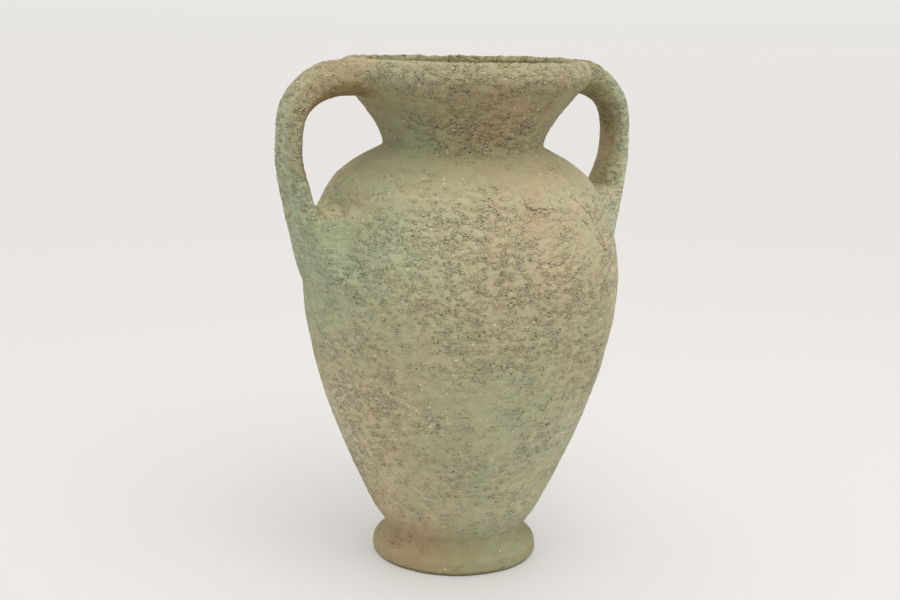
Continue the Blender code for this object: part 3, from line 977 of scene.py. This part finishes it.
def coated_clay(name, sage, tan, dirt_and_shade, cream_and_highlight):
    """Matt sanded pottery: airbrushed colours, dirt and painted shade in the pits, fine grit with
    pale edges that are partly a painted highlight, pale grains, and painted light and shade.
    """
    material = bpy.data.materials.new(name)
    material.use_nodes = True
    tree = material.node_tree
    nodes, links = tree.nodes, tree.links
    shader = nodes["Principled BSDF"]

    def node(kind, **settings):
        made = nodes.new(kind)
        for key, value in settings.items():
            setattr(made, key, value)
        return made

    def number(value_or_socket, socket):
        if isinstance(value_or_socket, (int, float)):
            socket.default_value = value_or_socket
        else:
            links.new(value_or_socket, socket)

    def math_of(operation, a, b=0.0, clamp=False):
        made = node("ShaderNodeMath", operation=operation, use_clamp=clamp)
        number(a, made.inputs[0])
        number(b, made.inputs[1])
        return made.outputs[0]

    def times(a, b):
        return math_of("MULTIPLY", a, b)

    def plus(a, b):
        return math_of("ADD", a, b)

    def swing_of(value, amount):
        """A value that averages 0.5, made to swing about 0 by the amount."""
        return times(math_of("SUBTRACT", value, 0.5), amount)

    def step_of(value, low, high):
        made = node("ShaderNodeMapRange", interpolation_type="SMOOTHSTEP")
        number(value, made.inputs["Value"])
        made.inputs["From Min"].default_value = low
        made.inputs["From Max"].default_value = high
        return made.outputs["Result"]

    def mix_of(share, a, b, blend="MIX"):
        made = node("ShaderNodeMix", data_type="RGBA", blend_type=blend)
        number(share, made.inputs["Factor"])
        for value, socket in ((a, made.inputs["A"]), (b, made.inputs["B"])):
            if isinstance(value, tuple):
                socket.default_value = (*value, 1.0)
            else:
                links.new(value, socket)
        return made.outputs["Result"]

    place = node("ShaderNodeTexCoord").outputs["Object"]
    squeeze = node("ShaderNodeMapping")
    links.new(place, squeeze.inputs["Vector"])
    squeeze.inputs["Scale"].default_value = (1.0, 1.0, GRIT_SQUEEZE)
    flattened = squeeze.outputs["Vector"]

    def noise_of(size, detail, rough=0.5, where=place):
        made = node("ShaderNodeTexNoise")
        links.new(where, made.inputs["Vector"])
        made.inputs["Scale"].default_value = 1 / size
        made.inputs["Detail"].default_value = detail
        made.inputs["Roughness"].default_value = rough
        return made.outputs["Fac"]

    def cells_of(size, where=place):
        made = node("ShaderNodeTexVoronoi")
        links.new(where, made.inputs["Vector"])
        made.inputs["Scale"].default_value = 1 / size
        return made

    def channels_of(colour):
        made = node("ShaderNodeSeparateColor")
        links.new(colour, made.inputs["Color"])
        return made.outputs

    layer = node("ShaderNodeAttribute", attribute_name="coat")
    green, pit_dirt_and_shade, rough = channels_of(layer.outputs["Color"])
    speck = layer.outputs["Alpha"]
    tone_and_painted_light = node("ShaderNodeAttribute", attribute_name="tone_and_painted_light").outputs["Fac"]

    # Airbrushed colours, with soft edges that the grit breaks up.
    drift = swing_of(noise_of(0.012, 3, 0.6), 0.30)
    dust = swing_of(noise_of(0.0022, 2), 0.30)
    share = math_of("ADD", plus(green, drift), dust, clamp=True)
    colour = mix_of(share, tan, sage)

    # Lighter and darker mottling, and the painted light and shade of the colours' factor, with a
    # warmer colour where it paints shade.
    mottle = step_of(noise_of(0.009, 5, 0.62), 0.32, 0.70)
    colour = mix_of(1.0, colour, mix_of(mottle, MOTTLE_DARK, MOTTLE_LIGHT), "MULTIPLY")
    warm = node("ShaderNodeVectorMath", operation="MULTIPLY_ADD")
    links.new(tone_and_painted_light, warm.inputs[0])
    warm.inputs[1].default_value = [1 + fade for fade in SHADE_FADE]
    warm.inputs[2].default_value = [-fade for fade in SHADE_FADE]
    colour = mix_of(1.0, colour, warm.outputs["Vector"], "MULTIPLY")

    # Fine grit: specks and short wriggling gaps with dirt and painted shade in them, and pale edges
    # between, partly a painted highlight on the grit's raised points. They lie in clusters, and
    # most of them lie level.
    fine = noise_of(FINE_GRIT, 2, 0.65, flattened)
    middling = noise_of(GRIT_PATCH, 3, 0.6, flattened)
    cluster = step_of(noise_of(GRIT_CLUSTER, 3, 0.6, flattened), 0.45, 0.59)
    off_line = math_of("ABSOLUTE", math_of("SUBTRACT", noise_of(WRIGGLE, 1, 0.5, flattened), 0.5))
    broken_line = step_of(noise_of(0.006, 1), 0.52, 0.58)
    wriggle = times(step_of(off_line, 0.026, 0.006), broken_line)
    grit = plus(times(rough, 1.05), 0.06)
    busy = times(grit, plus(times(cluster, 0.78), 0.22))
    gaps = times(step_of(fine, 0.43, 0.36), step_of(middling, 0.52, 0.45))
    gaps = times(math_of("MAXIMUM", gaps, times(wriggle, 0.42)), busy)

    # Small uneven holes, more of them where the grit is busy.
    cell = cells_of(HOLE_CELL, flattened)
    lot = channels_of(cell.outputs["Color"])[0]
    hole = step_of(plus(cell.outputs["Distance"], swing_of(fine, 1.8)), 0.44, 0.22)
    there = step_of(plus(lot, times(busy, 0.30)), 1.0, 1.15)
    gaps = math_of("MAXIMUM", gaps, times(hole, there))
    # Pale edges where the grit stands highest: partly pale grit, partly a painted highlight.
    edges = times(step_of(fine, 0.57, 0.64), busy)
    colour = mix_of(times(edges, 0.70), colour, cream_and_highlight)
    colour = mix_of(times(gaps, 0.95), colour, dirt_and_shade)
    # Dirt and painted shade in the pits.
    pit_dirt_and_shade = step_of(plus(pit_dirt_and_shade, swing_of(fine, -1.6)), 0.38, 0.74)
    colour = mix_of(times(pit_dirt_and_shade, 0.78), colour, dirt_and_shade)

    # Pale sand grains that stand out of the coat.
    grain = cells_of(GRAIN_CELL)
    chosen = channels_of(grain.outputs["Color"])[0]
    rare = math_of("GREATER_THAN", plus(chosen, times(speck, 0.07)), 0.998)
    small = step_of(grain.outputs["Distance"], 0.48, 0.34)
    pale = math_of("MAXIMUM", times(rare, small), step_of(speck, 1.02, 1.3))
    colour = mix_of(times(pale, 0.95), colour, cream_and_highlight)
    links.new(colour, shader.inputs["Base Color"])

    links.new(plus(times(mottle, 0.08), 0.86), shader.inputs["Roughness"])
    shader.inputs["Specular IOR Level"].default_value = 0.25

    # The finest relief, too small for the mesh.
    height = math_of("SUBTRACT", plus(fine, times(middling, 1.1)), times(gaps, 0.6))
    height = times(height, plus(times(busy, 0.85), 0.20))
    bump = node("ShaderNodeBump")
    bump.inputs["Strength"].default_value = 1.0
    bump.inputs["Distance"].default_value = BUMP_DEPTH
    links.new(height, bump.inputs["Height"])
    links.new(bump.outputs["Normal"], shader.inputs["Normal"])
    return material


SAGE = (0.372, 0.420, 0.268)
TAN = (0.500, 0.388, 0.244)
# Dirt, with painted shade, for the pits and the grit's gaps.
DIRT_AND_SHADE = (0.088, 0.064, 0.030)
# Pale grains, and the grit's pale edges, which are partly a painted highlight.
CREAM_AND_HIGHLIGHT = (0.80, 0.73, 0.52)
SHADE_FADE = (0.0, 0.05, 0.30)  # how much more of the green and the blue is lost as the tone falls
MOTTLE_DARK = (0.94, 0.93, 0.91)
MOTTLE_LIGHT = (1.05, 1.05, 1.05)

# Sizes of the material's patterns, and the depth of its bump, in metres.
FINE_GRIT = 0.0015
GRIT_PATCH = 0.0040
GRIT_CLUSTER = 0.0090
WRIGGLE = 0.0046
HOLE_CELL = 0.0021
GRAIN_CELL = 0.0019
BUMP_DEPTH = 0.0018
GRIT_SQUEEZE = 1.7  # how much longer than tall the marks of the grit are


# ------------ camera, light and floor

def make_camera():
    level = math.cos(CAMERA_PITCH)
    ahead = Vector(
        (math.sin(CAMERA_YAW) * level, math.cos(CAMERA_YAW) * level, -math.sin(CAMERA_PITCH))
    )
    right = Vector((math.cos(CAMERA_YAW), -math.sin(CAMERA_YAW), 0))
    up = right.cross(ahead)
    rolled = math.cos(CAMERA_ROLL) * right + math.sin(CAMERA_ROLL) * up
    above = math.cos(CAMERA_ROLL) * up - math.sin(CAMERA_ROLL) * right
    axes = (TO_VESSEL @ Matrix((rolled, above, -ahead)).transposed()).to_4x4()
    axes.translation = TO_VESSEL @ Vector((0, -CAMERA_DISTANCE, CAMERA_HEIGHT))
    data = bpy.data.cameras.new("camera")
    data.lens = CAMERA_LENS
    data.sensor_width = SENSOR
    camera = new_object("camera", data)
    camera.matrix_world = axes
    bpy.context.scene.camera = camera


def make_light():
    """A square soft box that looks at the vessel's middle."""
    data = bpy.data.lights.new("key", "AREA")
    data.shape = "SQUARE"
    data.size = KEY_SIZE
    data.energy = KEY_POWER
    data.color = KEY_COLOUR
    light = new_object("key", data)
    light.location = TO_VESSEL @ Vector(KEY_PLACE)
    middle = Vector((0, 0, HEIGHT / 2))
    light.rotation_mode = "QUATERNION"
    light.rotation_quaternion = (light.location - middle).to_track_quat("Z", "Y")


def make_floor():
    mesh = bpy.data.meshes.new("floor")
    half = FLOOR_HALF
    corners = [(-half, -half, 0), (half, -half, 0), (half, half, 0), (-half, half, 0)]
    mesh.from_pydata(corners, [], [(0, 1, 2, 3)])
    material = bpy.data.materials.new("floor_paint")
    material.use_nodes = True
    shader = material.node_tree.nodes["Principled BSDF"]
    shader.inputs["Base Color"].default_value = FLOOR_COLOUR
    shader.inputs["Emission Color"].default_value = FLOOR_GLOW
    shader.inputs["Emission Strength"].default_value = FLOOR_GLOW_STRENGTH
    shader.inputs["Roughness"].default_value = 0.6
    shader.inputs["Specular IOR Level"].default_value = 0.2
    mesh.materials.append(material)
    floor = new_object("floor", mesh)
    floor.location.z = -FLOOR_DROP


def make_world():
    world = bpy.data.worlds.new("studio")
    bpy.context.scene.world = world
    world.use_nodes = True
    nodes, links = world.node_tree.nodes, world.node_tree.links
    background = nodes["Background"]
    background.inputs["Color"].default_value = ROOM_COLOUR
    direction = nodes.new("ShaderNodeTexCoord").outputs["Generated"]
    brightness = ROOM_LEVEL
    for way, gain in ((Vector((0, 0, 1)), ROOM_RISE), (BEHIND, ROOM_BACK)):
        along = nodes.new("ShaderNodeVectorMath")
        along.operation = "DOT_PRODUCT"
        along.inputs[1].default_value = way * gain
        links.new(direction, along.inputs[0])
        total = nodes.new("ShaderNodeMath")
        total.operation = "ADD"
        links.new(along.outputs["Value"], total.inputs[0])
        if isinstance(brightness, float):
            total.inputs[1].default_value = brightness
        else:
            links.new(brightness, total.inputs[1])
        brightness = total.outputs["Value"]
    links.new(brightness, background.inputs["Strength"])


# ------------ everything

make_camera()
make_world()
make_floor()
make_light()
bpy.context.scene.view_settings.view_transform = "Standard"

clay = coated_clay("coated_clay", SAGE, TAN, DIRT_AND_SHADE, CREAM_AND_HIGHLIGHT)
made = {
    "foot": make_turned("foot"),
    "lower_body": make_lower_body(),
    "shoulder": make_turned("shoulder"),
    "neck": make_turned("neck"),
    "lip": make_lip(),
    "handle_left": make_handle("handle_left", -1),
    "handle_right": make_handle("handle_right", 1),
}
for node_name, piece in made.items():
    piece.data.materials.append(clay)
    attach(piece, "root")
    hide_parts(node_name)

bpy.context.view_layer.update()
